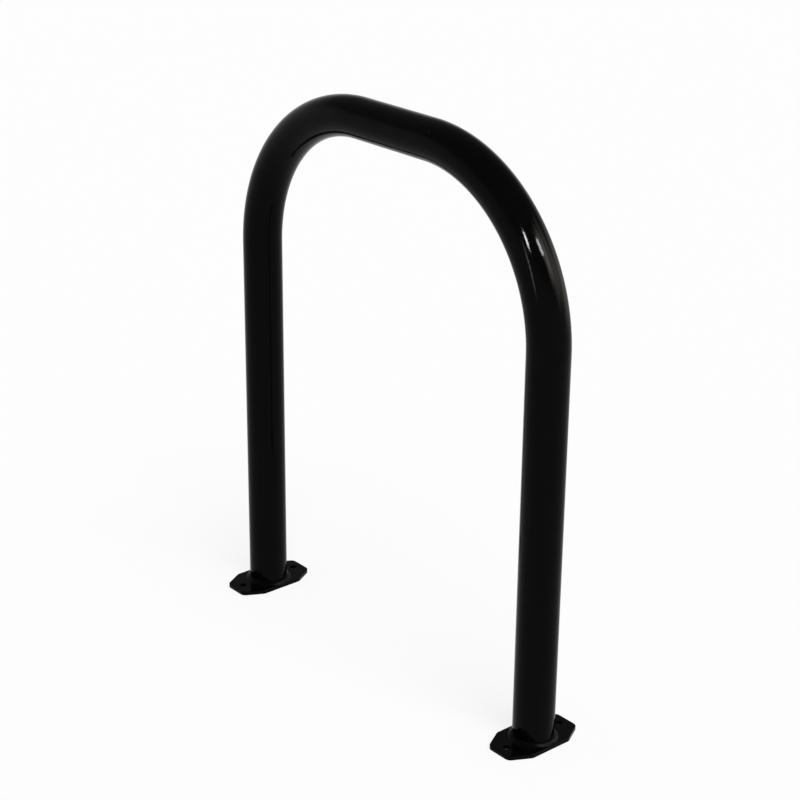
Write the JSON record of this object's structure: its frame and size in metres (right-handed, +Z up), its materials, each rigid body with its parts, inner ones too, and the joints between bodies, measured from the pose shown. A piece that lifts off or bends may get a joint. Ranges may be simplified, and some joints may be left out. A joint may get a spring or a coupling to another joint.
{
  "type": "hoop bike rack",
  "caption": "Round steel tube bent to an upright hoop with a flat top, each leg welded to a long eight-sided base plate that bolts to the ground.",
  "frame": {"origin": "on the ground, midway between the centrelines of the two legs", "axes": "+Z up the legs, +X from the left leg to the right leg in the plane of the hoop, +Y square to that plane, away from a viewer who has the left leg on the left"},
  "size_m": [0.703, 0.134, 0.852],
  "materials": {
    "tube_coating": "gloss",
    "plate_coating": "gloss",
    "weld_coating": "gloss"
  },
  "bodies": {
    "root": {"hoop_tube": "tube_coating", "left_base_plate": "plate_coating", "right_base_plate": "plate_coating", "left_weld_bead": "weld_coating", "right_weld_bead": "weld_coating"}
  },
  "joints": []
}
